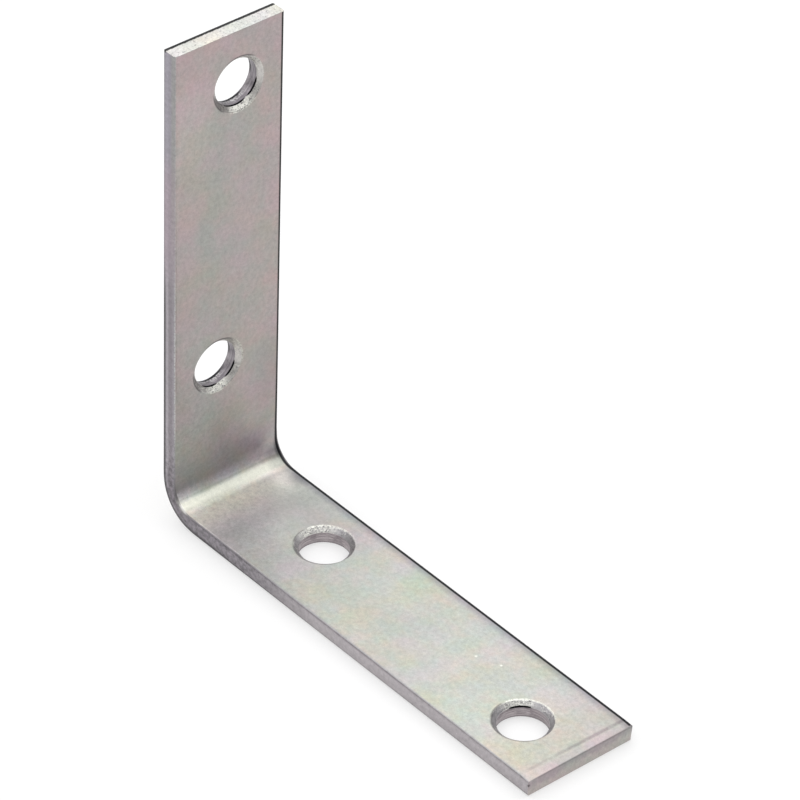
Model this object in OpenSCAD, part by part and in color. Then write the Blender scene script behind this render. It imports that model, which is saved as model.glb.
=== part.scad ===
// Corner brace bracket: one flat steel strip, bent once at a right angle, with two countersunk screw
// holes in each leg. The base leg lies along X and the upright stands along Z. The strip's outer faces
// go against the two members that the brace joins, and the countersinks are in its inner faces.

/* [Strip] */
// Length of the base leg, from the back of the upright to its sheared end
base_leg = 102; // [80:0.5:140]
// Height of the upright, from the underside of the base leg to its sheared end
upright_leg = 101.6; // [80:0.1:140]
// Width of the strip
strip_w = 24.5; // [20:0.5:40]
// Thickness of the strip
strip_t = 3.4; // [2.6:0.1:4.4]
// Radius of the strip's four rolled long edges
edge_r = 0.5; // [0.2:0.05:0.9]

/* [Bend] */
// Radius of the bend on its outer side
bend_outer_r = 9.4; // [7:0.1:11]
// Radius of the bend on its inner side
bend_inner_r = 4.6; // [3:0.1:7]
// How far each side of the strip swells out where the bend squeezes it
bend_swell = 0.2; // [0.1:0.05:0.5]
// Length over which that swelling shows, round the middle of the inner bend
swell_reach = 11; // [8:0.5:14]

/* [Sheared end] */
// Length of the strip of the base leg's inner face that the shear pressed down, at its end
press_length = 2.1; // [1:0.1:4]
// How far that strip slopes down by the time it reaches the end
press_depth = 0.12; // [0.05:0.01:0.3]

/* [Screw holes] */
// Distance from the back of the upright to the base leg's inner hole
base_hole_start = 29.4; // [22:0.1:36]
// Distance from the base leg's outer hole to its sheared end
base_end_margin = 13; // [9:0.1:18]
// Distance from the underside of the base leg to the upright's lower hole
upright_hole_start = 30.7; // [22:0.1:36]
// Distance from the upright's upper hole to its sheared end
upright_end_margin = 11.3; // [9:0.1:18]
// How far each hole stands to one side of the strip's middle line, the next hole standing to the other
hole_offset = 2.1; // [0:0.1:4]
// Diameter of the punched bore at its land
bore_d = 9.4; // [5:0.1:9.8]
// Diameter of the bore where it breaks out of the outer face
breakout_d = 9.9; // [9.8:0.1:10.4]
// Diameter of the countersink at the inner face
countersink_d = 11.3; // [10.5:0.1:13]
// Angle between opposite sides of the countersink
countersink_angle = 90; // [80:1:100]
// Length of the bore's straight land below the countersink
land_length = 1.15; // [0.6:0.05:1.3]

/* [Hidden] */
// Facets round a full circle
$fn = 96;
// How far a cutting shape runs past the face that it opens
past = 1;
// Distance from an outer face to the middle of each end of the inner bend
inner_centre = strip_t + bend_inner_r;
// Distance from an outer face to the middle of the inner bend's surface
inner_middle = inner_centre - bend_inner_r * cos(45);
// Radius of the ball whose cap is the swelling
swell_ball_r = (pow(swell_reach / 2, 2) + pow(bend_swell, 2)) / (2 * bend_swell);
// Distance of the rolled edges' axes from the strip's middle line
edge_y = strip_w / 2 - edge_r;
// Heights in a hole, measured from the strip's outer face
land_top = strip_t - (countersink_d - bore_d) / 2 / tan(countersink_angle / 2);
land_bottom = land_top - land_length;
// Slope of the pressed strip at the base leg's end
press_angle = atan(press_depth / press_length);

// Region beyond two faces at right angles, with the corner between them rounded
module corner_region(start, radius, reach_x, reach_z) {
  translate([start + radius, start])
    square([reach_x - start - radius, reach_z - start]);
  translate([start, start + radius])
    square([reach_x - start, reach_z - start - radius]);
  translate([start + radius, start + radius])
    circle(r = radius);
}

// Side view of the bent strip, with its inner and outer faces drawn in by an inset
module side_view(inset) {
  difference() {
    corner_region(inset, bend_outer_r - inset, base_leg, upright_leg);
    corner_region(strip_t - inset, bend_inner_r + inset, base_leg + past, upright_leg + past);
  }
}

// Bent strip of a given width, standing in its place
module bent_strip(width, inset) {
  rotate([90, 0, 0])
    linear_extrude(height = width, center = true)
      side_view(inset);
}

// Rolled edge along both legs and round the bend, at one side of the strip
module rolled_edge(side_y, axis_start, bend_r) {
  centre = axis_start + bend_r;
  translate([axis_start, side_y, centre])
    cylinder(r = edge_r, h = upright_leg - centre);
  translate([centre, side_y, axis_start])
    rotate([0, 90, 0])
      cylinder(r = edge_r, h = base_leg - centre);
  translate([centre, side_y, centre])
    rotate([90, 0, 0])
      rotate([0, 0, 180])
        rotate_extrude(angle = 90)
          translate([bend_r, 0])
            circle(r = edge_r);
}

// Swelling at both sides of the bend, each a shallow cap of a large ball
module swelling() {
  half_w = strip_w / 2 + bend_swell;
  for (side = [-1, 1])
    intersection() {
      translate([0, side * half_w / 2, 0])
        bent_strip(half_w, 0);
      translate([inner_middle, side * (half_w - swell_ball_r), inner_middle])
        sphere(r = swell_ball_r);
    }
}

// Screw hole with its axis up, its countersink at the top and the strip's outer face at height 0
module screw_hole() {
  rotate_extrude()
    polygon([
      [0, -past],
      [breakout_d / 2, -past],
      [breakout_d / 2, 0],
      [bore_d / 2, land_bottom],
      [bore_d / 2, land_top],
      [countersink_d / 2, strip_t],
      [countersink_d / 2, strip_t + past],
      [0, strip_t + past]
    ]);
}

// Both holes of a leg that lies along X, the inner one at the given side of the middle line
module leg_holes(inner_x, outer_x, side) {
  translate([inner_x, side * hole_offset, 0])
    screw_hole();
  translate([outer_x, -side * hole_offset, 0])
    screw_hole();
}

// Space above the strip that the shear pressed down at the base leg's end
module pressed_end() {
  translate([base_leg - press_length, 0, strip_t])
    rotate([0, press_angle, 0])
      translate([0, -strip_w, 0])
        cube([press_length + past, 2 * strip_w, past]);
}

module corner_brace() {
  color("silver")
    translate([-base_leg / 2, 0, 0])
      difference() {
        union() {
          bent_strip(strip_w - 2 * edge_r, 0);
          bent_strip(strip_w, edge_r);
          for (side_y = [-edge_y, edge_y]) {
            rolled_edge(side_y, edge_r, bend_outer_r - edge_r);
            rolled_edge(side_y, strip_t - edge_r, bend_inner_r + edge_r);
          }
          swelling();
        }
        leg_holes(base_hole_start, base_leg - base_end_margin, 1);
        mirror([1, 0, -1])
          leg_holes(upright_hole_start, upright_leg - upright_end_margin, -1);
        pressed_end();
      }
}

corner_brace();
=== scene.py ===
import math
from functools import reduce

import bmesh
import bpy
from mathutils import Matrix, Vector


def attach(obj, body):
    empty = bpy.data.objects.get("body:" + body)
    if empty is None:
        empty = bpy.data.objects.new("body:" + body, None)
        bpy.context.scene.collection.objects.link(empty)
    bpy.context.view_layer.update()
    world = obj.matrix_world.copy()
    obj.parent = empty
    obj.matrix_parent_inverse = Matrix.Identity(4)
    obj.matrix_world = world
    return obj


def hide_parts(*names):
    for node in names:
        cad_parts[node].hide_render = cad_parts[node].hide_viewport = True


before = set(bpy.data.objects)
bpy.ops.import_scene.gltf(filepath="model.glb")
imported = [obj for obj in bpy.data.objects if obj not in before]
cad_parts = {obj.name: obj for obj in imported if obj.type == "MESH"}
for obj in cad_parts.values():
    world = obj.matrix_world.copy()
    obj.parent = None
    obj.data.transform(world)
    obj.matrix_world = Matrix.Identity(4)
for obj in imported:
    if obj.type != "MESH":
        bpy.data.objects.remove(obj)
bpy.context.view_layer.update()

# Sizes of the brace in millimetres, as the part's source has them
BASE_LEG = 102.0
UPRIGHT_LEG = 101.6
STRIP_W = 24.5
STRIP_T = 3.4
EDGE_R = 0.5
BEND_OUTER_R = 9.4
BEND_INNER_R = 4.6
BEND_SWELL = 0.2
SWELL_REACH = 11.0
PRESS_LENGTH = 2.1
PRESS_DEPTH = 0.12
HOLE_OFFSET = 2.1
BORE_R = 4.7
BREAKOUT_R = 4.95
COUNTERSINK_R = 5.65
LAND_LENGTH = 1.15
HALF_W = STRIP_W / 2
INNER_CENTRE = STRIP_T + BEND_INNER_R
BEND_SLANT = BEND_OUTER_R - INNER_CENTRE
CONE_DROP = COUNTERSINK_R - BORE_R
MM = 0.001

# Each hole's distance from the outer face of the other leg, and its distance from the middle line
BASE_HOLES = [(29.4, HOLE_OFFSET), (BASE_LEG - 13.0, -HOLE_OFFSET)]
UPRIGHT_HOLES = [(30.7, -HOLE_OFFSET), (UPRIGHT_LEG - 11.3, HOLE_OFFSET)]

# The blank is modelled flat. It runs along X, its bend zone from 0 to BEND_RUN, with the upright before it
BEND_RUN = 12.0
BEND_STEPS = 36
SLANT_RUN = 10.0
SLANT_STEPS = 6
UPRIGHT_END = BEND_OUTER_R - UPRIGHT_LEG
BASE_END = BEND_RUN + BASE_LEG - BEND_OUTER_R

# Roundings of the blank's ends: all round them, where the shear rolled them over, and at the far corner
END_ROUND = 0.12
END_ROLL = 0.3
END_CORNER = 0.85
CORNER_TAPER = 0.6

# Spacing of the blank's mesh, the square that each hole is set in, and finer rows at the ends
GRID = 0.7
WIDTH_ROWS = 15
PANEL_CELLS = 12
PANEL = PANEL_CELLS * GRID
END_ROWS = (0.22, 0.3, 0.4, 0.5, 0.6)
PRESS_ROWS = (-0.4, -0.25, -0.1, 0.0, 0.1, 0.3)

# A turned hole: its steps round, the ring that joins it to its square, and its worn corners
HOLE_STEPS = 8 * PANEL_CELLS
HOLE_RING_R = 7.0
RIM_R = 0.22
STEP_R = 0.1
MOUTH_R = 0.12
FLAT_RUN = 0.12
STEP_LEDGE = 0.14

# Colours of the plate and of the cut steel
BASE_STEEL = (0.515, 0.515, 0.48)
# The upright's plate is painted darker than the base leg's, as painted shade
SHADED_UPRIGHT_STEEL = (0.452, 0.419, 0.405)
BURNISHED = (0.515, 0.52, 0.455)
SIDE_OF_UPRIGHT = (0.365, 0.342, 0.365)
SIDE_OF_BASE = (0.455, 0.425, 0.44)
SIDE_BY_BEND = (0.27, 0.25, 0.27)
# The upright's end is lighter cut steel, painted brighter still as a painted highlight
LIT_TOP_END_STEEL = (0.68, 0.675, 0.635)
TOP_END_FLAW = (0.43, 0.42, 0.41)
END_BURNISHED = (0.39, 0.357, 0.365)
END_TORN = (0.485, 0.45, 0.43)
END_GLINT = (0.90, 0.89, 0.86)
CONE_OF_BASE = (0.50, 0.485, 0.50)
# The upright's cones are painted lighter than the base leg's, as painted light
LIT_CONE_OF_UPRIGHT = (0.66, 0.64, 0.615)
# Painted shade and painted highlight on parts of the cones
CONE_SHADE = (0.38, 0.355, 0.35)
CONE_HIGHLIGHT = (0.86, 0.855, 0.80)
CHIP_DARK = (0.12, 0.115, 0.12)
CHIP_BRIGHT = (0.95, 0.95, 0.88)
BORE_DARK = (0.305, 0.27, 0.285)
BORE_LIGHT = (0.465, 0.42, 0.43)
BORE_GLINT = (0.95, 0.95, 0.93)
MOUTH_DARK = (0.10, 0.09, 0.095)
BURR_DARK = (0.03, 0.03, 0.033)
# Painted highlight over a little wear, and painted shade, on the rims, and painted shade along the ledges
RIM_WEAR_AND_HIGHLIGHT = (0.86, 0.87, 0.80)
RIM_SHADE = (0.11, 0.10, 0.105)
LEDGE_SHADE = (0.012, 0.011, 0.014)
# Painted shade along the rolled far, outer and top back edges
FAR_EDGE_SHADE = (0.012, 0.012, 0.015)
OUTER_EDGE_SHADE = (0.05, 0.048, 0.052)
OUTER_LINE_SHADE = (0.05, 0.048, 0.05)
TOP_BACK_SHADE = (0.02, 0.02, 0.022)
# Painted shade and a painted glint on the near edge, and wear with painted highlight on the upright's
SHADED_EDGE_BY_BEND = (0.27, 0.255, 0.27)
SHADED_EDGE_OF_BASE = (0.46, 0.45, 0.46)
EDGE_GLINT = (0.95, 0.94, 0.87)
EDGE_WEAR_AND_HIGHLIGHT = (0.62, 0.63, 0.62)
KNOCK_BRIGHT = (0.90, 0.90, 0.85)
KNOCK_DARK = (0.015, 0.014, 0.015)

# The film's faint colours, as ramps of its noises
GREEN_TO_PINK = [(0.35, (0.955, 1.024, 0.988)), (0.5, (0.998, 1.0, 0.99)), (0.65, (1.035, 0.972, 1.0))]
LILAC_TO_STRAW = [(0.35, (0.99, 0.985, 1.045)), (0.5, (1.0, 1.0, 1.0)), (0.68, (1.025, 1.0, 0.92))]

# Wider patches of the film's colours on the base leg, as (place, radius, tint)
FILM_PATCHES = [
    ((48.0, 3.5), 9.0, (0.96, 1.035, 0.99)),
    ((31.0, 6.5), 7.0, (1.045, 0.96, 1.0)),
    ((23.0, -1.0), 8.0, (0.975, 1.015, 1.0)),
    ((66.0, -7.0), 8.0, (0.97, 1.015, 1.01)),
    ((79.0, -7.0), 8.0, (0.97, 1.015, 1.01)),
    ((76.0, 3.0), 9.0, (1.02, 0.985, 1.02)),
]

# A bound is a measure of Plate, where it starts and where it counts fully, and any share left outside it
ON_UPRIGHT = ("z", 5.0, 26.0)
ON_BASE = ("z", 26.0, 5.0)
ON_INNER_FACE = ("depth", 0.6, 0.3)

# Broad parts of the plated faces with painted shade and painted light, some of them also greener or rosier,
# as (tint, bounds)
PLATE_SHADE_LIGHT_AND_TINTS = [
    ((1.06, 0.99, 1.01), [("off_middle", 3.0, 11.0), ON_UPRIGHT]),
    ((0.72, 0.71, 0.77), [("from_far", 2.5, 0.8), ON_BASE, ("along", 2.0, 8.0)]),
    ((0.835, 0.835, 0.86), [("along", 42.0, 12.0), ("along", 2.0, 4.6), ("y", -3.0, 9.0)]),
    ((1.20, 1.17, 1.27), [("along", 26.0, 14.0), ("along", 6.0, 11.0), ("y", 9.0, -2.0)]),
    ((1.12, 1.09, 1.07), [("x", 55.0, 85.0), ("y", 2.0, -9.0)]),
    ((0.965, 0.93, 0.925), [("x", 86.0, 97.0)]),
    ((1.10, 1.13, 1.13), [("along", -32.0, -18.0), ("along", -10.0, -16.0), ("y", 5.0, -8.0)]),
    ((0.85, 0.88, 0.88), [("along", -36.0, -18.0), ("along", -3.0, -7.0), ("y", 4.0, 10.0)]),
    ((1.06, 1.06, 1.07), [("y", -4.5, -9.0), ("x", 14.0, 24.0), ("x", 62.0, 52.0)]),
    ((0.935, 0.93, 0.93), [("y", -3.0, 1.0), ("y", 9.0, 6.0), ("x", 30.0, 24.0), ("x", 8.0, 13.0)]),
    ((1.05, 1.05, 1.05), [("y", -5.0, -1.0), ("y", 9.5, 6.5), ("x", 57.0, 66.0)]),
    ((1.09, 1.095, 1.09), [("y", -1.0, -8.0), ON_UPRIGHT, ("z", 46.0, 36.0)]),
    ((1.072, 1.076, 1.072), [("y", -1.0, -8.0), ON_UPRIGHT, ("z", 72.0, 80.0), ("z", 97.0, 91.0)]),
    ((0.97, 1.015, 1.0), [("y", -1.0, -8.0), ON_UPRIGHT, ("z", 68.0, 58.0)]),
    ((1.035, 0.975, 1.0), [("z", 88.0, 95.0)]),
    ((1.0, 0.94, 0.965), [("z", 25.0, 18.0), ("along", -5.0, -9.0), ("y", -4.0, 0.0)]),
]

# Round the bend, laid before the burnished band: a band of painted shade, greener on its near part, a lilac
# border of painted light, and a painted highlight at the heel
SHADED_BAND = [("along", -12.0, -5.5), ("along", -0.4, -3.0), ON_INNER_FACE]
BEND_LIGHT_AND_SHADE = [
    ((0.86, 0.78, 0.865), SHADED_BAND + [("y", 10.5, 7.5, 0.4)]),
    ((0.97, 1.05, 1.03), SHADED_BAND + [("y", 1.0, -8.0)]),
    ((1.45, 1.42, 1.52), [("along", -3.4, -1.5), ("along", -0.2, -1.0), ON_INNER_FACE]),
    ((1.86, 1.80, 1.75), [("along", 13.0, 4.5), ("along", 1.6, 3.7), ON_INNER_FACE, ("y", 11.5, 7.5)]),
]

# The burnished band, then painted light and shade round it: a painted highlight on its crest, painted shade
# at its foot, painted highlights by its near edge, and painted shade at its far edge
BURNISHED_BAND = [("along", -0.1, 0.9), ("along", 3.7, 2.2), ON_INNER_FACE]
LIGHT_AND_SHADE_ROUND_BURNISH = [
    ((1.20, 1.20, 1.20), [("along", -0.5, 0.0), ("along", 1.1, 0.3), ON_INNER_FACE, ("y", 10.5, 8.0)]),
    ((0.86, 0.86, 0.86), [("along", 2.9, 3.6), ("along", 4.6, 4.0), ON_INNER_FACE, ("y", 10.0, 8.0)]),
    ((1.15, 1.14, 1.13), [("along", -3.5, -1.0), ("y", -5.5, -10.0), ("along", 5.0, 3.0)]),
    ((1.20, 1.19, 1.20), [("along", -3.5, -1.0), ("y", -5.5, -10.0), ("along", 0.9, -0.3)]),
    ((0.68, 0.69, 0.71), [("along", -4.5, -0.8), ("along", 3.9, 2.4), ("y", 7.0, 11.0)]),
    ((0.744, 0.752, 0.768), [("along", 5.2, 7.4), ("along", 11.0, 8.6), ("y", 7.0, 11.0)]),
]

# Arcs round each hole's axis, as (middle, half width) in degrees: painted shade along ledges that the
# countersink left, painted highlight and painted shade on its cone and on its lip, and burrs, painted shade
# and painted glints where the bore breaks out
ARC_KINDS = ("ledge", "bright", "dark", "lip", "outline", "burr")
BASE_ARCS = [
    {"bright": [(160, 56)], "lip": [(125, 78)], "outline": [(-75, 80), (202, 32)],
     "burr": [(228, 30), (48, 30)]},
    {"ledge": [(145, 30)], "bright": [(150, 44)], "lip": [(120, 78)], "outline": [(-75, 80), (202, 32)],
     "burr": [(228, 30), (48, 30)]},
]
UPRIGHT_ARCS = [
    {"ledge": [(-107, 26), (-38, 26)], "bright": [(-88, 32)], "dark": [(-157, 28)], "lip": [(12, 40)],
     "outline": [(-160, 34), (88, 42)], "burr": [(-90, 56), (25, 42)]},
    {"ledge": [(-95, 36), (-34, 28)], "bright": [(-80, 38)], "dark": [(-142, 34)],
     "outline": [(-152, 32), (88, 42)], "burr": [(-94, 50), (25, 42)]},
]

# Small knocks on the base leg, as (place, radius, colour): two on its inner face and one on its near corner
KNOCKS = [
    ((70.7, 2.9, STRIP_T), 0.4, KNOCK_BRIGHT),
    ((75.4, 4.7, STRIP_T), 0.4, KNOCK_BRIGHT),
    ((BASE_LEG, 0.1 - HALF_W, 2.4), 0.45, KNOCK_DARK),
]

# The studio, in metres. A softbox is (name, place, the point it looks at, size, radiance)
FLOOR_REACH = 6.0
FLOOR_GAP = 0.0001
FLOOR_COLOUR = 0.45
FLOOR_GLOW = 0.55
WORLD_COLOUR = 0.2
SOFTBOXES = [
    ("ceiling", (-0.75, 0.2, 0.9), (-0.75, 0.2, 0.0), (3.0, 3.0), 1.25),
    ("overhead_softbox", (0.22, 0.6, 0.85), (0.22, 0.6, 0.0), (0.95, 0.8), 0.35),
]

# The camera: its angles in degrees, its distance from its target in metres, and its lens in millimetres
CAMERA_AZIMUTH = 48.558
CAMERA_ELEVATION = 36.872
CAMERA_ROLL = 1.948
CAMERA_TARGET = (0.01512, -0.01317, 0.06511)
CAMERA_DISTANCE = 0.9131
CAMERA_LENS = 242.11
SENSOR_WIDTH = 36.0

# Sockets of the Mix node for colours, which go by number because their names repeat
MIX_SHARE, MIX_LOW, MIX_HIGH, MIX_RESULT = 0, 6, 7, 2


def loose(bm):
    """Everything in a bmesh, as its operators take it."""
    return bm.verts[:] + bm.edges[:] + bm.faces[:]


def cut(bm, axis, place):
    """Cuts the blank right through, square to an axis, to give it a row of vertices there."""
    point, normal = Vector(), Vector()
    point[axis] = place
    normal[axis] = 1.0
    bmesh.ops.bisect_plane(bm, geom=loose(bm), dist=1e-4, plane_co=point, plane_no=normal)


def round_edges(bm, edges, radius, segments):
    bmesh.ops.bevel(
        bm, geom=edges, offset=radius, offset_type="OFFSET", segments=segments, profile=0.5,
        affect="EDGES", clamp_overlap=True, material=-1, loop_slide=True,
    )


def arc(centre, radius, start, end, steps):
    """Points of an arc in a hole's profile, as (distance from the axis, height)."""
    turns = [math.radians(start + (end - start) * i / steps) for i in range(steps + 1)]
    return [(centre[0] + radius * math.cos(a), centre[1] + radius * math.sin(a)) for a in turns]


def hole_profile():
    """Section of a screw hole from the inner face down to the outer face."""
    cone_low = STRIP_T - CONE_DROP
    run = RIM_R * math.tan(math.radians(22.5))
    points = [(HOLE_RING_R, STRIP_T), (COUNTERSINK_R + run + FLAT_RUN, STRIP_T)]
    points += arc((COUNTERSINK_R + run, STRIP_T - RIM_R), RIM_R, 90, 135, 4)
    for share in (0.25, 0.5, 0.75):
        points.append((COUNTERSINK_R - share * CONE_DROP, STRIP_T - share * CONE_DROP))
    run = STEP_R * math.tan(math.radians(22.5))
    ledge = BORE_R + STEP_LEDGE
    points += [(ledge, cone_low + STEP_LEDGE), (ledge - 0.02, cone_low + STEP_LEDGE - 0.05)]
    points += arc((BORE_R + STEP_R, cone_low - run), STEP_R, 110, 180, 3)
    land_low = cone_low - LAND_LENGTH
    points += [(BORE_R, cone_low - 0.4), (BORE_R, cone_low - 0.8), (BORE_R, land_low)]
    slope = (BREAKOUT_R - BORE_R) / land_low
    points += [(BORE_R + slope * 0.5, land_low - 0.5), (BORE_R + slope * 0.9, land_low - 0.9)]
    points += arc((BREAKOUT_R + MOUTH_R, MOUTH_R), MOUTH_R, 190, 270, 4)
    points += [(BREAKOUT_R + MOUTH_R + FLAT_RUN, 0.0), (HOLE_RING_R, 0.0)]
    return points


def flat_blank():
    """The strip before it is bent, with its sheared ends, rolled edges and countersunk holes."""
    bm = bmesh.new()
    bmesh.ops.create_cube(bm, size=1.0)
    bmesh.ops.scale(bm, vec=(BASE_END - UPRIGHT_END, STRIP_W, STRIP_T), verts=bm.verts)
    middle = ((BASE_END + UPRIGHT_END) / 2, 0.0, STRIP_T / 2)
    bmesh.ops.translate(bm, vec=middle, verts=bm.verts)
    long_edges = [e for e in bm.edges if abs(e.verts[0].co.x - e.verts[1].co.x) > 1.0]
    round_edges(bm, long_edges, EDGE_R, 6)
    for end in (UPRIGHT_END, BASE_END):
        outline = [e for e in bm.edges if all(abs(v.co.x - end) < 1e-4 for v in e.verts)]
        round_edges(bm, outline, END_ROUND, 3)

    holes = [(BEND_OUTER_R - z, y) for z, y in UPRIGHT_HOLES]
    holes += [(BEND_RUN + x - BEND_OUTER_R, y) for x, y in BASE_HOLES]
    places = [BEND_RUN * i / BEND_STEPS for i in range(BEND_STEPS + 1)]
    places += [-SLANT_RUN * i / SLANT_STEPS for i in range(1, SLANT_STEPS + 1)]
    places += [BEND_RUN + SLANT_RUN * i / SLANT_STEPS for i in range(1, SLANT_STEPS + 1)]
    places += [UPRIGHT_END + d for d in END_ROWS + (1.5,)]
    places += [BASE_END - d for d in END_ROWS + (1.2,)]
    places += [BASE_END - PRESS_LENGTH + d for d in PRESS_ROWS]
    for x, y in holes:
        places += [x + GRID * i for i in range(-PANEL_CELLS, PANEL_CELLS + 1)]
    spaced = sorted(set(round(p, 4) for p in places))
    for place in spaced:
        cut(bm, 0, place)
    for i in range(-WIDTH_ROWS, WIDTH_ROWS + 1):
        cut(bm, 1, GRID * i)
    turns = [EDGE_R * (1 - math.cos(math.radians(15 * i))) for i in range(1, 7)]
    for depth in turns + [EDGE_R + 0.12, EDGE_R + 0.6]:
        cut(bm, 1, HALF_W - depth)
        cut(bm, 1, depth - HALF_W)
    for depth in turns + [1.1, 1.7]:
        cut(bm, 2, depth)
        cut(bm, 2, STRIP_T - depth)

    for vert in bm.verts:
        soften_ends(vert.co)
    for x, y in holes:
        drill(bm, x, y)
    bmesh.ops.recalc_face_normals(bm, faces=bm.faces)
    return bm


def onto_arc(first, second, radius):
    """Draws a point back onto the arc of a rounded corner, from its distances to the corner's two faces."""
    across, down = radius - first, radius - second
    reach = math.hypot(across, down)
    if across <= 0 or down <= 0 or reach <= radius:
        return first, second
    return radius - across * radius / reach, radius - down * radius / reach


def soften_ends(point):
    """Rounds the outer edge of each end, which the shear rolled over, and the base leg's far corner."""
    to_base, to_upright = BASE_END - point.x, point.x - UPRIGHT_END
    if to_upright < 1:
        to_upright, point.z = onto_arc(to_upright, point.z, END_ROLL)
        point.x = UPRIGHT_END + to_upright
    elif to_base < 1:
        to_base, point.z = onto_arc(to_base, point.z, END_ROLL)
        corner = END_CORNER * (1 - CORNER_TAPER * point.z / STRIP_T)
        to_base, to_side = onto_arc(to_base, HALF_W - point.y, corner)
        point.x, point.y = BASE_END - to_base, HALF_W - to_side


def drill(bm, x, y):
    """Opens a square in both faces of the blank and sets a turned hole in it."""
    def inside(point, room):
        return abs(point.x - x) < room and abs(point.y - y) < room

    def flat(face):
        heights = [v.co.z for v in face.verts]
        return max(heights) < 1e-4 or min(heights) > STRIP_T - 1e-4

    def on_ring(point):
        return abs(math.hypot(point.x - x, point.y - y) - HOLE_RING_R) < 1e-3

    gone = [f for f in bm.faces if inside(f.calc_center_median(), PANEL) and flat(f)]
    bmesh.ops.delete(bm, geom=gone, context="FACES")
    verts = [bm.verts.new((x + r, y, z)) for r, z in hole_profile()]
    edges = [bm.edges.new(pair) for pair in zip(verts, verts[1:])]
    bmesh.ops.spin(
        bm, geom=verts + edges, cent=(x, y, 0.0), axis=(0.0, 0.0, 1.0), angle=math.tau,
        steps=HOLE_STEPS, use_merge=True,
    )
    ring = [e for e in bm.edges if e.is_boundary and all(on_ring(v.co) for v in e.verts)]
    grown = bmesh.ops.extrude_edge_only(bm, edges=ring)["geom"]
    for vert in (g for g in grown if isinstance(g, bmesh.types.BMVert)):
        turn = math.atan2(vert.co.y - y, vert.co.x - x) / math.tau
        side = round(turn * 4)
        along = round(turn * HOLE_STEPS) - side * HOLE_STEPS // 4
        point = Matrix.Rotation(side * math.pi / 2, 2) @ Vector((PANEL, GRID * along))
        vert.co.x, vert.co.y = x + point.x, y + point.y
    bmesh.ops.remove_doubles(bm, verts=bm.verts, dist=0.002)


def bend(point):
    """Where a point of the flat blank goes when the strip is bent, in the row frame."""
    x, y, share = point.x, point.y, point.z / STRIP_T
    if 0.0 <= x <= BEND_RUN:
        turn = x / BEND_RUN * math.pi / 2
        outer = BEND_OUTER_R * Vector((1 - math.cos(turn), 1 - math.sin(turn)))
        inner = Vector((INNER_CENTRE, INNER_CENTRE))
        inner -= BEND_INNER_R * Vector((math.cos(turn), math.sin(turn)))
        side = outer.lerp(inner, share)
    else:
        beyond = -x if x < 0 else x - BEND_RUN
        slant = BEND_SLANT * share * max(0.0, 1 - beyond / SLANT_RUN)
        along = BEND_OUTER_R + beyond - slant
        side = Vector((point.z, along)) if x < 0 else Vector((along, point.z))
    return Vector((side.x, y, side.y))


def shape(point):
    """Presses the base leg's sheared end down and lets the bend swell at its sides."""
    pressed = max(0.0, point.x - (BASE_LEG - PRESS_LENGTH)) / PRESS_LENGTH
    if pressed:
        point.z -= PRESS_DEPTH * pressed * min(1.0, point.z / STRIP_T)
    middle = INNER_CENTRE - BEND_INNER_R * math.cos(math.pi / 4)
    reach = math.hypot(point.x - middle, point.z - middle) / (SWELL_REACH / 2)
    if reach < 1.0:
        point.y *= 1 + BEND_SWELL * (1 - reach * reach) / HALF_W
    return point


def make_brace():
    bm = flat_blank()
    for vert in bm.verts:
        vert.co = shape(bend(vert.co))
    bmesh.ops.translate(bm, vec=(-BASE_LEG / 2, 0.0, 0.0), verts=bm.verts)
    bmesh.ops.scale(bm, vec=(MM, MM, MM), verts=bm.verts)
    for face in bm.faces:
        face.smooth = True
    mesh = bpy.data.meshes.new("bent_strip")
    bm.to_mesh(mesh)
    bm.free()
    piece = bpy.data.objects.new("bent_strip", mesh)
    bpy.context.scene.collection.objects.link(piece)
    even = piece.modifiers.new("even_shading", "WEIGHTED_NORMAL")
    even.mode = "FACE_AREA"
    return piece


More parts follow.
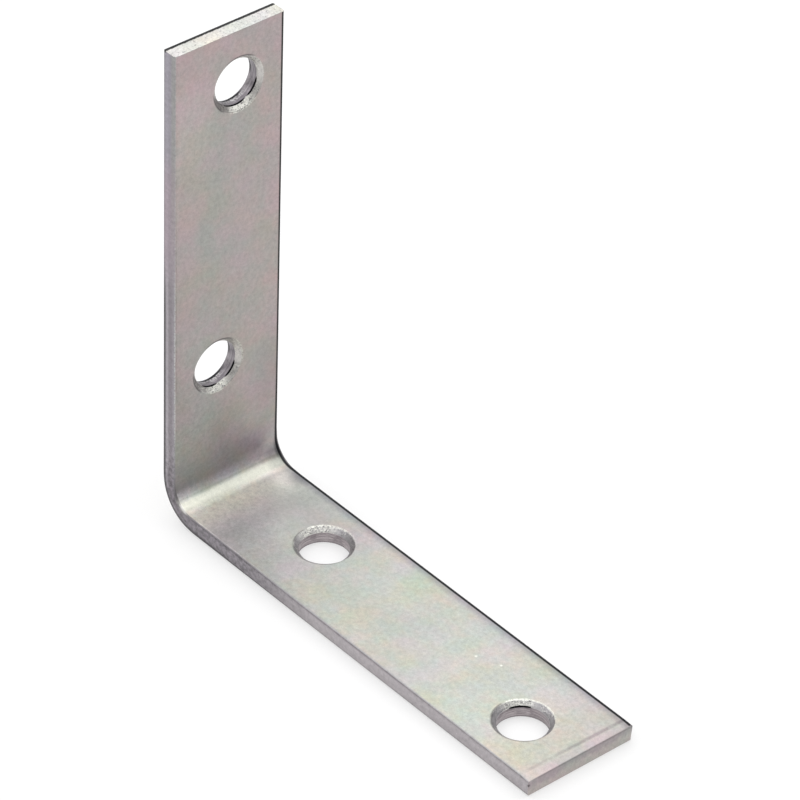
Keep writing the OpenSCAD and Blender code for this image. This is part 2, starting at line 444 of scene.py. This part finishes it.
class Wire:
    """A socket in a material's nodes. Python's operators on it add Math nodes."""

    def __init__(self, tree, socket=None):
        self.tree = tree
        self.socket = socket

    def node(self, kind, settings=None, values=None, output=0):
        """Adds a node of a type, with its settings, and then the values or links of its sockets."""
        made = self.tree.nodes.new("ShaderNode" + kind)
        for name, setting in (settings or {}).items():
            if name == "stops":
                ramp = made.color_ramp
                while len(ramp.elements) < len(setting):
                    ramp.elements.new(1.0)
                for element, (place, colour) in zip(ramp.elements, setting):
                    element.position = place
                    element.color = (*colour, 1.0)
            else:
                setattr(made, name, setting)
        for name, value in (values or {}).items():
            if isinstance(value, Wire):
                self.tree.links.new(value.socket, made.inputs[name])
            else:
                made.inputs[name].default_value = value
        return Wire(self.tree, made.outputs[output])

    def math(self, operation, *values):
        return self.node("Math", {"operation": operation}, dict(enumerate(values)))

    def __add__(self, other):
        return self.math("ADD", self, other)

    def __radd__(self, other):
        return self.math("ADD", other, self)

    def __sub__(self, other):
        return self.math("SUBTRACT", self, other)

    def __rsub__(self, other):
        return self.math("SUBTRACT", other, self)

    def __mul__(self, other):
        return self.math("MULTIPLY", self, other)

    def __rmul__(self, other):
        return self.math("MULTIPLY", other, self)

    def __pow__(self, other):
        return self.math("POWER", self, other)

    def at_least(self, other):
        return self.math("MAXIMUM", self, other)

    def at_most(self, other):
        return self.math("MINIMUM", self, other)

    def away_from(self, other):
        """How far this is from another value, to either side of it."""
        return self.math("ABSOLUTE", self - other)

    def ramp_up(self, low, high):
        """0 below low and 1 above high, or the other way round where low is the larger."""
        settings = {"interpolation_type": "SMOOTHSTEP", "clamp": True}
        values = {"Value": self, "From Min": low, "From Max": high}
        return self.node("MapRange", settings, values)

    def noise(self, size, detail=2.0, roughness=0.5, shift=(0.0, 0.0, 0.0)):
        """Noise from 0 to 1 on coordinates in millimetres, its grains about that size."""
        place = self.node("Mapping", None, {"Vector": self, "Location": shift})
        values = {"Vector": place, "Scale": 1.0 / size, "Detail": detail, "Roughness": roughness}
        return self.node("TexNoise", {"noise_dimensions": "3D"}, values)

    def arcs(self, places):
        """1 in the middle of each arc of a turn and 0 outside, from (middle, half width) in degrees."""
        found = self * 0.0
        for middle, half in places:
            facing = self.math("COSINE", self - math.radians(middle))
            share = facing.ramp_up(math.cos(math.radians(half)), math.cos(math.radians(half * 0.4)))
            found = found.at_least(share)
        return found

    def grey(self):
        """The grey that is this bright."""
        return self.node("CombineColor", None, {0: self, 1: self, 2: self})

    def mix(self, share, low, high, kind="MIX"):
        """One colour where share is 0, and where it is 1 another, or the two multiplied."""
        low, high = [colour if isinstance(colour, Wire) else (*colour, 1.0) for colour in (low, high)]
        settings = {"data_type": "RGBA", "blend_type": kind, "clamp_factor": True}
        return self.node("Mix", settings, {MIX_SHARE: share, MIX_LOW: low, MIX_HIGH: high}, MIX_RESULT)

    def coat(self, colour, share):
        """This colour with a share of another laid over it."""
        return self.mix(share, self, colour)

    def tint(self, colour, share=1.0):
        """This colour multiplied by a share of another."""
        return self.mix(share, self, colour, "MULTIPLY")


class Plate:
    """The brace's plate while it is made: where a point of it is, in millimetres, and its colour so far."""

    def __init__(self, tree):
        self.start = Wire(tree)
        metres = self.start.node("TexCoord", None, None, "Object")
        scaled = {0: metres, "Scale": 1.0 / MM}
        self.place = self.start.node("VectorMath", {"operation": "SCALE"}, scaled)
        x, y, z = [self.start.node("SeparateXYZ", None, {0: self.place}, axis) for axis in "XYZ"]
        self.x, self.y, self.z = x + BASE_LEG / 2, y, z

        # Distances from the inner and outer faces, along the legs from the bend, and from the strip's sides
        self.depth = self.from_axis(INNER_CENTRE) - BEND_INNER_R
        self.from_outer = BEND_OUTER_R - self.from_axis(BEND_OUTER_R)
        self.along = self.x - self.z
        self.off_middle = self.y.away_from(0.0)
        self.from_far = HALF_W - self.y
        self.from_near = HALF_W + self.y

        # Parts of the brace: the upright, the slit sides, the sheared ends, and where the sides are rough
        self.upright = self.where(ON_UPRIGHT)
        self.side = self.off_middle.ramp_up(HALF_W - 0.32, HALF_W - 0.12)
        self.base_end = self.x.ramp_up(BASE_LEG - 0.14, BASE_LEG - 0.05)
        self.top_end = self.z.ramp_up(UPRIGHT_LEG - 0.14, UPRIGHT_LEG - 0.05)
        self.rough_part = self.where(("z", 62.0, 46.0), ("x", 45.0, 20.0))

        # Patterns that more than one finish uses, and the bare steel
        self.film = self.place.noise(6.5, 2.0, 0.55, (3.0, 7.0, 1.0))
        self.flecks = self.place.noise(1.9, 2.0, 0.6, (9.0, 2.0, 4.0))
        self.torn = self.place.noise(0.9, 3.0, 0.65, (1.0, 5.0, 2.0))
        self.chips = self.place.noise(0.32, 2.0, 0.65, (4.0, 4.0, 9.0))
        hue = self.film + (self.flecks - 0.5) * 0.4
        self.green_to_pink = self.start.node("ValToRGB", {"stops": GREEN_TO_PINK}, {0: hue})
        hue = self.place.noise(8.5, 2.0, 0.55, (31.0, 12.0, 5.0)) + (self.flecks - 0.5) * 0.35
        self.lilac_to_straw = self.start.node("ValToRGB", {"stops": LILAC_TO_STRAW}, {0: hue})
        self.colour = self.start.mix(self.upright, BASE_STEEL, SHADED_UPRIGHT_STEEL)

    def from_axis(self, centre):
        """Distance from a bend's axis inside the bend, and from the line through it on either leg."""
        return ((centre - self.x).at_least(0.0) ** 2 + (centre - self.z).at_least(0.0) ** 2) ** 0.5

    def from_spot(self, spot):
        """Distance from a point, or from an upright line where the spot has no height."""
        squares = [(measure - at) ** 2 for measure, at in zip((self.x, self.y, self.z), spot)]
        return reduce(Wire.__add__, squares) ** 0.5

    def where(self, *bounds):
        """1 where a point is within every bound, and 0 outside them, or the share that is left there."""
        shares = []
        for measure, low, high, *left in bounds:
            share = getattr(self, measure).ramp_up(low, high)
            if left:
                share = left[0] + (1 - left[0]) * share
            shares.append(share)
        return reduce(Wire.__mul__, shares)

    def coat(self, colour, share):
        """Lays a share of a colour over the plate."""
        self.colour = self.colour.coat(colour, share)

    def tint(self, colour, share=1.0):
        """Multiplies the plate's colour by a share of another."""
        self.colour = self.colour.tint(colour, share)

    def tint_parts(self, table):
        for colour, bounds in table:
            self.tint(colour, self.where(*bounds))

    def lay_film(self):
        """The film's faint colours, calmer by the bend, and the plate's broad painted shade and painted
        light.
        """
        calm = self.where(("along", 28.0, 12.0), ("along", 3.0, 6.0))
        self.tint(self.green_to_pink, 1 - 0.6 * calm)
        self.tint(self.lilac_to_straw, (1 - 0.55 * self.upright) * (1 - 0.8 * calm))
        self.tint_parts(PLATE_SHADE_LIGHT_AND_TINTS)
        for spot, radius, colour in FILM_PATCHES:
            patch = self.from_spot(spot).ramp_up(radius, radius * 0.3)
            self.tint(colour, patch * (1 - self.upright))

    def mark_bend(self):
        """The bend: painted shade with painted light beside it, then the band that the press tool
        burnished, with painted light and shade round it.
        """
        self.tint_parts(BEND_LIGHT_AND_SHADE)
        self.burnished = self.where(*BURNISHED_BAND)
        self.coat(BURNISHED, self.burnished * 0.9)
        self.tint_parts(LIGHT_AND_SHADE_ROUND_BURNISH)

    def slit_sides(self):
        """The slit sides, darkest and roughest round the bend, with bands of painted shade and highlights
        along them.
        """
        x, z, depth = self.x, self.z, self.depth
        steel = self.start.mix(x.ramp_up(22.0, 46.0), SIDE_BY_BEND, SIDE_OF_BASE)
        steel = steel.coat(SIDE_OF_UPRIGHT, z.ramp_up(7.0, 16.0))
        # Painted shade along the middle of the sides by the bend and on the upright, and a painted
        # highlight there on the base leg
        hollow_shade = depth.away_from(1.1).ramp_up(1.0, 0.2) * x.ramp_up(8.0, 4.0)
        steel = steel.tint((0.78, 0.76, 0.77), hollow_shade * (0.25 + 0.75 * self.rough_part))
        crown_highlight = depth.away_from(1.2).ramp_up(0.9, 0.1) * x.ramp_up(6.0, 12.0)
        steel = steel.tint((1.05, 1.05, 1.05), crown_highlight)
        # Painted shade under the inner edge of the base leg's sides, and a painted highlight line near the
        # outer face
        under_edge_shade = depth.away_from(0.32).ramp_up(0.3, 0.05)
        under_edge_shade = under_edge_shade * x.ramp_up(30.0, 42.0) * x.ramp_up(85.0, 65.0)
        steel = steel.tint((0.86, 0.84, 0.86), under_edge_shade)
        highlight_line = self.from_outer.away_from(1.2).ramp_up(0.5, 0.05) * x.ramp_up(8.0, 4.0)
        steel = steel.tint((1.18, 1.18, 1.19), highlight_line * (0.4 + 0.6 * self.rough_part))
        blue_grey = z.ramp_up(70.0, 84.0) * depth.ramp_up(0.6, 1.6)
        steel = steel.tint((1.0, 1.01, 1.06), blue_grey)
        rosy = z.ramp_up(48.0, 62.0) * z.ramp_up(82.0, 74.0)
        steel = steel.tint((1.07, 0.98, 1.02), rosy)
        by_bend = x.ramp_up(45.0, 20.0) * z.ramp_up(24.0, 8.0)
        mottle = 1 + (self.torn - 0.5) * (0.5 + 1.6 * by_bend)
        self.coat(steel.tint(mottle.grey()), self.side)
        # A faint greenish painted highlight where the upright's side rolls into the inner face
        shoulder_highlight = self.side * depth.ramp_up(1.5, 0.6) * z.ramp_up(45.0, 75.0)
        self.tint((1.0, 1.05, 0.98), shoulder_highlight)

    def sheared_ends(self):
        """The base leg's end, burnished above and torn below, and the upright's, with small flaws and a
        painted highlight.
        """
        lower = (self.z + (self.film - 0.5) * 3.0 + (self.torn - 0.5) * 2.0).ramp_up(2.6, 1.2)
        steel = self.start.mix(lower, END_BURNISHED, END_TORN).tint(self.green_to_pink)
        self.coat(steel, self.base_end)
        flaws = self.place.noise(0.45, 2.0, 0.6, (6.0, 8.0, 1.0)).ramp_up(0.50, 0.64)
        flaws = flaws * (0.35 + 0.65 * self.torn.ramp_up(0.46, 0.60))
        steel = self.start.mix(flaws, LIT_TOP_END_STEEL, TOP_END_FLAW)
        steel = steel.tint(self.green_to_pink, 0.5).tint(self.lilac_to_straw, 0.8)
        self.coat(steel, self.top_end)

    def pressed_end(self):
        """The strip that the shear pressed down, painted shade in the crease where it starts, and painted
        shade and a glint on the edge where it ends.
        """
        y, inner_face = self.y, self.where(ON_INNER_FACE)
        crease_x = BASE_LEG - PRESS_LENGTH - 0.1 + y * 0.018
        crease = (1 - self.x.away_from(crease_x).ramp_up(0.1, 0.6)) * inner_face
        crease = crease * (y.ramp_up(-5.0, 2.0) * 0.5 + 0.5 * self.flecks.ramp_up(0.35, 0.5))
        # Painted shade in the crease
        self.tint((0.70, 0.67, 0.71), crease * y.ramp_up(-11.5, -9.5))
        pressed = (self.x - crease_x).ramp_up(0.3, 0.9) * inner_face * (1 - self.base_end)
        self.tint((0.96, 0.91, 0.97), pressed * self.where(("y", -10.0, -5.0, 0.15)))
        # Painted shade on the end's rolled top edge, with a painted glint at its near corner
        end_edge = self.where(("x", BASE_LEG - 0.3, BASE_LEG - 0.15), ("depth", 0.65, 0.35))
        self.tint((0.83, 0.83, 0.83), end_edge)
        self.coat(END_GLINT, end_edge * y.ramp_up(-9.0, -11.5) * 0.15)

    def find_holes(self):
        """Distance from the nearest hole's axis, and the marked arcs of every hole."""
        x, y, z = self.x, self.y, self.z
        holes = [(x, y, hole, arcs) for hole, arcs in zip(BASE_HOLES, BASE_ARCS)]
        holes += [(y, z, (hole[1], hole[0]), arcs) for hole, arcs in zip(UPRIGHT_HOLES, UPRIGHT_ARCS)]
        reaches, marks = [], {kind: [] for kind in ARC_KINDS}
        for first, second, hole, arcs in holes:
            across, up = first - hole[0], second - hole[1]
            reach = (across ** 2 + up ** 2) ** 0.5
            turn = up.math("ARCTAN2", up, across)
            here = reach.ramp_up(6.5, 6.0)
            reaches.append(reach)
            for kind in ARC_KINDS:
                marks[kind].append(turn.arcs(arcs.get(kind, [])) * here)
        self.reach = reduce(Wire.at_most, reaches)
        self.marks = {kind: reduce(Wire.at_least, found) for kind, found in marks.items()}

    def countersinks(self):
        """The cones of the countersinks, painted lighter on the upright, with painted highlights and shade
        in arcs and the bright and dark chips of their chatter.
        """
        bright, dark = self.marks["bright"], self.marks["dark"]
        patches = self.place.noise(2.4, 1.0, 0.5, (2.0, 6.0, 3.0)).ramp_up(0.40, 0.55)
        self.cone = self.reach.ramp_up(COUNTERSINK_R + 0.02, COUNTERSINK_R - 0.12)
        self.chatter = (patches * 0.6).at_least(bright)
        steel = self.start.mix(self.upright, CONE_OF_BASE, LIT_CONE_OF_UPRIGHT).coat(CONE_SHADE, dark)
        steel = steel.coat(CONE_HIGHLIGHT, bright * (0.5 + 0.3 * patches + 0.15 * self.upright))
        self.coat(steel, self.cone)
        self.coat(CHIP_DARK, self.cone * self.chatter * self.chips.ramp_up(0.57, 0.64) * 0.8)
        self.coat(CHIP_BRIGHT, self.cone * self.chatter * self.chips.ramp_up(0.45, 0.38) * 0.8)

    def bores(self):
        """The grey bores, with turning lines, painted shade and painted glints in the burr arcs, and dark
        burrs and a dark mouth where they break out.
        """
        upright, depth, burr = self.upright, self.depth, self.marks["burr"]
        winding = {0: self.reach, 1: depth, 2: self.place.noise(6.0) * 2.0}
        self.rings = self.start.node("CombineXYZ", None, winding).noise(0.2, 2.0, 0.6)
        land = self.reach.ramp_up(BORE_R + 0.2, BORE_R + 0.1) * depth.ramp_up(0.9, 1.05)
        breakout = self.reach.ramp_up(BREAKOUT_R + 0.2, BREAKOUT_R + 0.1) * depth.ramp_up(1.6, 2.0)
        bore = land.at_least(breakout)
        steel = self.start.mix(self.rings.ramp_up(0.38, 0.62), BORE_DARK, BORE_LIGHT)
        # On the upright the bore is painted darker in the burr arcs, as painted shade, with painted glints
        steel = steel.tint((0.97, 1.0, 1.03), upright).tint((0.68, 0.68, 0.69), burr * upright)
        glints = burr * self.marks["bright"].ramp_up(0.0, 0.25) * self.chips.ramp_up(0.58, 0.36)
        glints = glints * depth.ramp_up(1.5, 2.2) * depth.ramp_up(2.95, 2.7)
        self.coat(steel.coat(BORE_GLINT, glints * 0.5), bore)
        mouth_line = bore * depth.ramp_up(3.0, 3.25) * (1 - upright)
        self.coat(MOUTH_DARK, mouth_line * 0.6)
        mouth = depth + (self.chips - 0.5) * 0.5
        self.coat(BURR_DARK, bore * burr * mouth.ramp_up(2.55, 2.8))

    def rims(self):
        """The rims of the countersinks, a little brighter all round by wear, with painted highlights and
        shade in arcs, and painted shade along the ledges at the top of the bores.
        """
        reach, marks = self.reach, self.marks
        rim = reach.ramp_up(COUNTERSINK_R - 0.2, COUNTERSINK_R) * self.depth.ramp_up(1.5, 1.0)
        rim = rim * reach.ramp_up(COUNTERSINK_R + 0.35, COUNTERSINK_R + 0.05)
        bright_rim = rim * (0.12 + 0.88 * marks["bright"].at_least(marks["lip"] * 0.75))
        self.coat(RIM_WEAR_AND_HIGHLIGHT, bright_rim * self.chips.ramp_up(0.62, 0.45) * 0.85)
        self.coat(RIM_SHADE, rim * marks["outline"] * (0.7 + 0.15 * self.upright))
        # Painted shade along the ledges
        ledge = marks["ledge"]
        step = (self.depth.away_from(0.96) - ledge * 0.16).ramp_up(0.03, -0.03)
        self.coat(LEDGE_SHADE, step * ledge.ramp_up(0.05, 0.2) * self.cone)

    def far_edges(self):
        """Painted shade on the rolled far edge, widest across the bend, and on the base leg's far corner.
        """
        depth, from_far, to_end = self.depth, self.from_far, BASE_LEG - self.x
        edge = (from_far - (1 - self.upright) * 0.11).ramp_up(0.80, 0.55)
        wide = self.where(("along", -5.5, -1.5), ("along", 3.0, -1.0), ("from_far", 1.5, 0.8))
        edge = edge.at_least(wide * 0.6) * (1 - self.side * 0.6) * (1 - self.top_end)
        edge = edge * self.where(("depth", 3.0, 1.7, 0.4)) * to_end.ramp_up(0.1, 0.4)
        corner = from_far.ramp_up(0.5, 0.2) * to_end.ramp_up(0.6, 0.3) * depth.ramp_up(2.6, 1.0)
        self.coat(FAR_EDGE_SHADE, edge.at_least(corner * 0.75) * 0.97)

    def outer_edges(self):
        """Painted shade along the rolled edges of the outer face and behind the upright's end."""
        corner = self.off_middle.ramp_up(HALF_W - 0.5, HALF_W - 0.3)
        corner = corner * (1 - self.top_end) * (1 - self.base_end)
        edge = self.from_outer.ramp_up(0.68, 0.46) * corner
        self.coat(OUTER_EDGE_SHADE, edge * (0.3 + 0.6 * self.rough_part))
        line = self.from_outer.ramp_up(1.2, 0.7) * corner
        self.coat(OUTER_LINE_SHADE, line * self.where(("z", 58.0, 46.0), ("x", 25.0, 13.0)) * 0.6)
        back = self.top_end.at_least(self.z.ramp_up(UPRIGHT_LEG - 0.45, UPRIGHT_LEG - 0.25))
        back = back * (self.depth + (self.chips - 0.5) * 0.4).ramp_up(STRIP_T - 0.95, STRIP_T - 0.7)
        self.coat(TOP_BACK_SHADE, back * 0.97)

    def near_edges(self):
        """The near edge of the inner face: painted shade on the base leg, a painted glint by the bend, and
        wear with painted highlight in bright spots on the upright.
        """
        depth, from_near = self.depth, self.from_near
        edge = from_near.ramp_up(0.42, 0.2) * depth.ramp_up(0.28, 0.12)
        # Painted shade on the base leg's rolled near edge, darkest by the bend
        steel = self.start.mix(self.x.ramp_up(20.0, 42.0), SHADED_EDGE_BY_BEND, SHADED_EDGE_OF_BASE)
        self.coat(steel, edge * (1 - self.upright) * (1 - self.base_end))
        glint = from_near.ramp_up(0.6, 0.3) * depth.ramp_up(0.5, 0.1)
        self.coat(EDGE_GLINT, glint * self.where(("along", -2.5, 0.3), ("along", 4.2, 2.6)) * 0.4)
        # Bright spots on the upright's near edge: wear and painted highlight
        wear_and_highlight = edge * self.upright * self.where(("z", 60.0, 42.0, 0.35)) * self.chips.ramp_up(0.60, 0.46)
        self.coat(EDGE_WEAR_AND_HIGHLIGHT, wear_and_highlight * 0.8)

    def knocks(self):
        for spot, radius, colour in KNOCKS:
            self.coat(colour, self.from_spot(spot).ramp_up(radius, radius * 0.2) * 0.7)

    def finish(self, shader):
        """Adds the grain, and gives the shader the colour, with the plate's roughness and relief."""
        film, cone, rings = self.film, self.cone, self.rings
        grain = self.place.noise(0.24, 2.0, 0.65)
        coarse = self.place.noise(0.8, 2.0, 0.6, (5.0, 1.0, 6.0))
        speck = 1.0 + (grain - 0.5) * 0.5 + (coarse - 0.5) * 0.5 + (film - 0.5) * 0.15
        speck = speck + (rings - 0.5) * cone * 0.5
        self.tint(speck.grey())
        roughness = 0.47 + (grain - 0.5) * 0.2 + (coarse - 0.5) * 0.15 - self.burnished * 0.12
        relief = grain * 0.006 + coarse * 0.008 + self.place.noise(6.0, 1.0, 0.5) * 0.05
        relief = relief + self.chips * cone * self.chatter * 0.10 + rings * cone * 0.02
        relief = relief + self.torn * self.side * 0.03
        bump = self.start.node("Bump", None, {"Strength": 1.0, "Distance": MM, "Height": relief})
        links = self.start.tree.links
        links.new(self.colour.socket, shader.inputs["Base Color"])
        links.new(roughness.socket, shader.inputs["Roughness"])
        links.new(bump.socket, shader.inputs["Normal"])
        shader.inputs["Metallic"].default_value = 1.0


def zinc_plate():
    """Satin zinc plate: a thin film of faint colours over drawn steel, duller where it was cut, with
    painted light and shade over it.
    """
    material = bpy.data.materials.new("zinc_plate")
    material.use_nodes = True
    plate = Plate(material.node_tree)
    plate.lay_film()
    plate.mark_bend()
    plate.slit_sides()
    plate.sheared_ends()
    plate.pressed_end()
    plate.find_holes()
    plate.countersinks()
    plate.bores()
    plate.rims()
    plate.far_edges()
    plate.outer_edges()
    plate.near_edges()
    plate.knocks()
    plate.finish(material.node_tree.nodes["Principled BSDF"])
    return material


def make_floor():
    """A wide pale floor that the camera, metal and glass see as white, with the brace's shadow on it."""
    bm = bmesh.new()
    bmesh.ops.create_grid(bm, x_segments=1, y_segments=1, size=FLOOR_REACH)
    mesh = bpy.data.meshes.new("floor")
    bm.to_mesh(mesh)
    bm.free()
    floor = bpy.data.objects.new("floor", mesh)
    bpy.context.scene.collection.objects.link(floor)
    floor.location.z = -FLOOR_GAP
    material = bpy.data.materials.new("pale_floor")
    material.use_nodes = True
    tree = material.node_tree
    shader = tree.nodes["Principled BSDF"]
    shader.inputs["Base Color"].default_value = (FLOOR_COLOUR, FLOOR_COLOUR, FLOOR_COLOUR, 1.0)
    shader.inputs["Roughness"].default_value = 0.9
    shader.inputs["Specular IOR Level"].default_value = 0.0
    rays = ("Is Camera Ray", "Is Glossy Ray", "Is Transmission Ray")
    seen = reduce(Wire.at_least, [Wire(tree).node("LightPath", None, None, ray) for ray in rays])
    glow = (seen * FLOOR_GLOW).grey()
    tree.links.new(glow.socket, shader.inputs["Emission Color"])
    shader.inputs["Emission Strength"].default_value = 1.0
    floor.data.materials.append(material)


def softbox(name, place, target, size, radiance):
    """A square lamp that looks at the target, bright enough to look that bright itself."""
    lamp = bpy.data.lights.new(name, "AREA")
    lamp.shape = "RECTANGLE"
    lamp.size, lamp.size_y = size
    lamp.energy = radiance * math.pi * size[0] * size[1]
    held = bpy.data.objects.new(name, lamp)
    held.location = place
    held.rotation_mode = "QUATERNION"
    held.rotation_quaternion = (Vector(target) - Vector(place)).to_track_quat("-Z", "Y")
    bpy.context.scene.collection.objects.link(held)


def make_world():
    """The dim grey room round the brace."""
    world = bpy.data.worlds.new("studio")
    world.use_nodes = True
    colour = (WORLD_COLOUR, WORLD_COLOUR, WORLD_COLOUR, 1.0)
    world.node_tree.nodes["Background"].inputs["Color"].default_value = colour
    bpy.context.scene.world = world


def make_camera():
    """The photograph's view, from the angles, distance and lens fitted to it."""
    azimuth, elevation = math.radians(CAMERA_AZIMUTH), math.radians(CAMERA_ELEVATION)
    roll = math.radians(CAMERA_ROLL)
    level = math.cos(elevation)
    back = Vector((math.sin(azimuth) * level, -math.cos(azimuth) * level, math.sin(elevation)))
    right = Vector((math.cos(azimuth), math.sin(azimuth), 0.0))
    up = back.cross(right)
    across = right * math.cos(roll) + up * math.sin(roll)
    upwards = up * math.cos(roll) - right * math.sin(roll)
    view = bpy.data.cameras.new("camera")
    view.sensor_width = SENSOR_WIDTH
    view.lens = CAMERA_LENS
    view.clip_start, view.clip_end = 0.05, 20.0
    camera = bpy.data.objects.new("camera", view)
    turn = Matrix((across, upwards, back)).transposed().to_4x4()
    camera.matrix_world = Matrix.Translation(Vector(CAMERA_TARGET) + back * CAMERA_DISTANCE) @ turn
    bpy.context.scene.collection.objects.link(camera)
    bpy.context.scene.camera = camera


brace = make_brace()
brace.data.materials.append(zinc_plate())
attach(brace, "root")
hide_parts("corner_brace")

make_floor()
make_camera()
for box in SOFTBOXES:
    softbox(*box)
make_world()
bpy.context.scene.view_settings.view_transform = "Standard"
